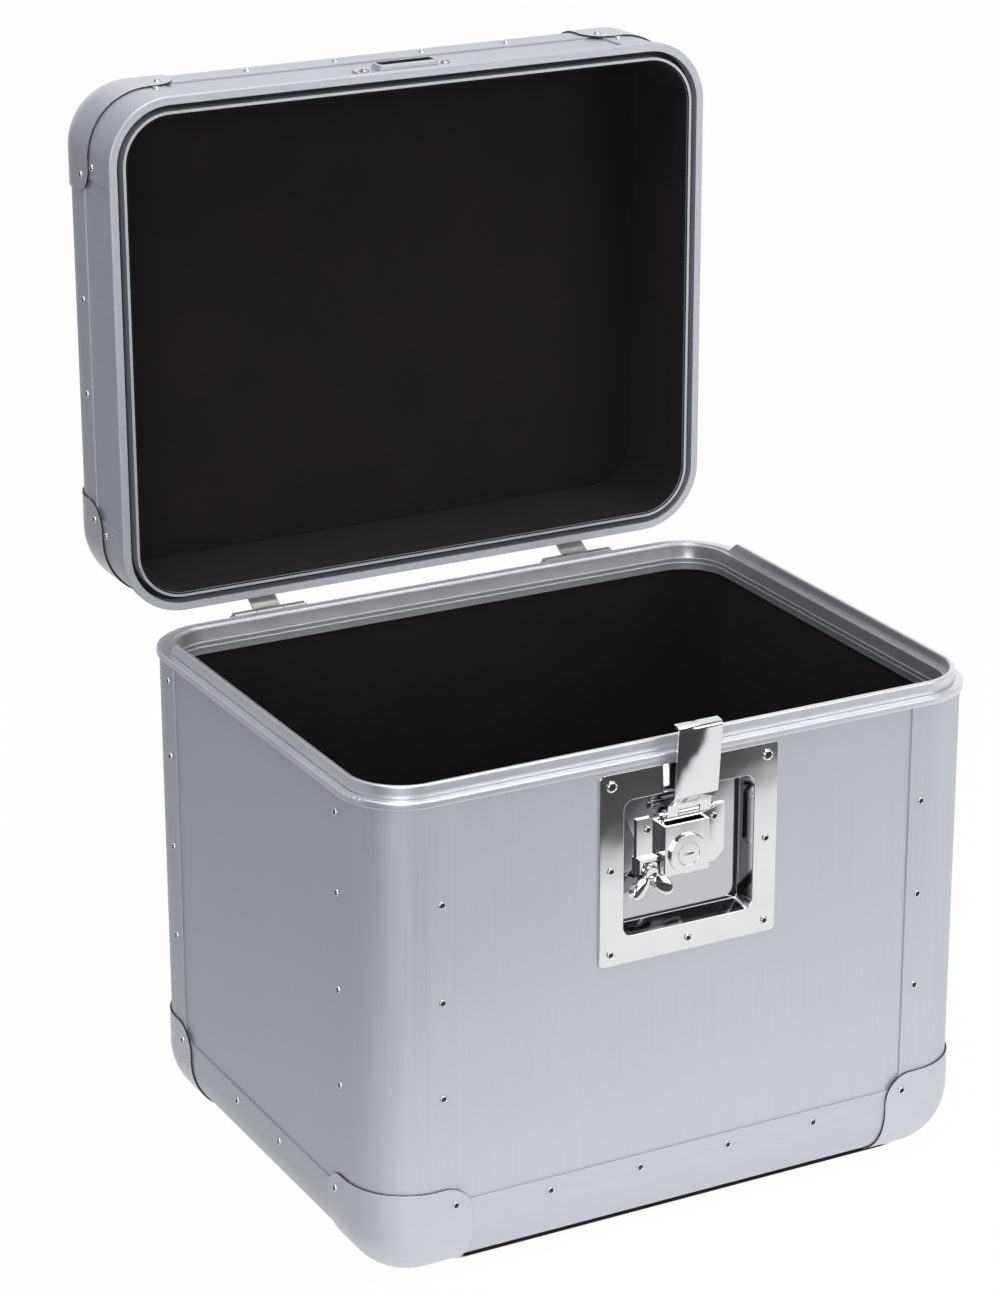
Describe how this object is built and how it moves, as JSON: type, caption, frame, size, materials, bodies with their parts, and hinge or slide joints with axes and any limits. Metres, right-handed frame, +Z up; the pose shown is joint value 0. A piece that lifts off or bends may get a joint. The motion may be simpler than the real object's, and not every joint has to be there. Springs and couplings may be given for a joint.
{
  "type": "record carrying case",
  "caption": "Square carrying case for twelve-inch records, with rounded edge profiles, ball corners, a hinged lid, a recessed claw latch with lock, and a swing handle.",
  "frame": {"origin": "centre of the outer face of the bottom panel, 1.2 mm above the plane of the bottom edge profiles", "axes": "+Z up, -Y the front with the latch, +Y the hinge side towards which the lid opens, X along the case's width"},
  "size_m": [0.39, 0.4362, 0.6033],
  "materials": {
    "profile": "satin anodised, drawn",
    "panel": "ply board with a brushed aluminium facing",
    "cap": "satin pressed",
    "chrome": "bright plate",
    "rivet": "bare",
    "hinge": "nickel plated",
    "lining": "black felt over foam board",
    "gasket": "black",
    "grip": "moulded black"
  },
  "bodies": {
    "base": {"base_back_panel": "panel", "base_bottom_panel": "panel", "base_cap_back_left": "cap", "base_cap_back_right": "cap", "base_cap_front_left": "cap", "base_cap_front_right": "cap", "base_floor_pad": "lining", "base_front_panel": "panel", "base_left_panel": "panel", "base_right_panel": "panel", "base_rim": "profile", "base_rivets": "rivet", "base_wall_lining": "lining", "bottom_edge_back": "profile", "bottom_edge_front": "profile", "bottom_edge_left": "profile", "bottom_edge_right": "profile", "corner_post_back_left": "profile", "corner_post_back_right": "profile", "corner_post_front_left": "profile", "corner_post_front_right": "profile", "hinge_base_leaf_left": "hinge", "hinge_base_leaf_right": "hinge", "hinge_pins": "hinge", "latch_bracket": "chrome", "latch_dish": "chrome", "latch_rivets": "chrome", "lock_barrel": "chrome"},
    "lid": {"handle_brackets": "chrome", "handle_pins": "chrome", "hinge_lid_leaf_left": "hinge", "hinge_lid_leaf_right": "hinge", "lid_back_panel": "panel", "lid_cap_back_left": "cap", "lid_cap_back_right": "cap", "lid_cap_front_left": "cap", "lid_cap_front_right": "cap", "lid_corner_posts": "profile", "lid_edge_back": "profile", "lid_edge_front": "profile", "lid_edge_left": "profile", "lid_edge_right": "profile", "lid_front_panel": "panel", "lid_gasket": "gasket", "lid_left_panel": "panel", "lid_right_panel": "panel", "lid_rim": "profile", "lid_rivets": "rivet", "lid_top_pad": "lining", "lid_top_panel": "panel", "lid_wall_lining": "lining", "strike_keeper": "chrome", "strike_screws": "chrome"},
    "wing": {"butterfly_wing": "chrome"},
    "carriage": {"latch_carriage": "chrome", "claw_pin": "chrome"},
    "claw": {"latch_claw": "chrome"},
    "key": {"lock_plug": "chrome"},
    "handle": {"handle_grip": "grip"}
  },
  "joints": [
    {"name": "lid_hinge", "type": "hinge", "parent": "base", "child": "lid", "pos_m": [0, 0.1623, 0.283], "axis": [1, 0, 0], "range_deg": [0, 90]},
    {"name": "handle_swing", "type": "hinge", "parent": "lid", "child": "handle", "pos_m": [0, 0.2669, 0.4453], "axis": [1, 0, 0], "range_deg": [0, 90]},
    {"name": "wing_turn", "type": "hinge", "parent": "base", "child": "wing", "pos_m": [-0.021, -0.1508, 0.2158], "axis": [0, 1, 0], "range_deg": [0, 90]},
    {"name": "claw_draw", "type": "slide", "parent": "base", "child": "carriage", "axis": [0, 0, -1], "range_m": [0, 0.0035]},
    {"name": "claw_swing", "type": "hinge", "parent": "carriage", "child": "claw", "pos_m": [0, -0.149, 0.2498], "axis": [1, 0, 0], "range_deg": [-5.5, 70]},
    {"name": "key_turn", "type": "hinge", "parent": "base", "child": "key", "pos_m": [0, -0.1508, 0.2248], "axis": [0, 1, 0], "range_deg": [0, 90]}
  ],
  "couplings": [
    {"joint": "wing_turn", "follows": "claw_draw", "rad_per_m": 448.79}
  ]
}
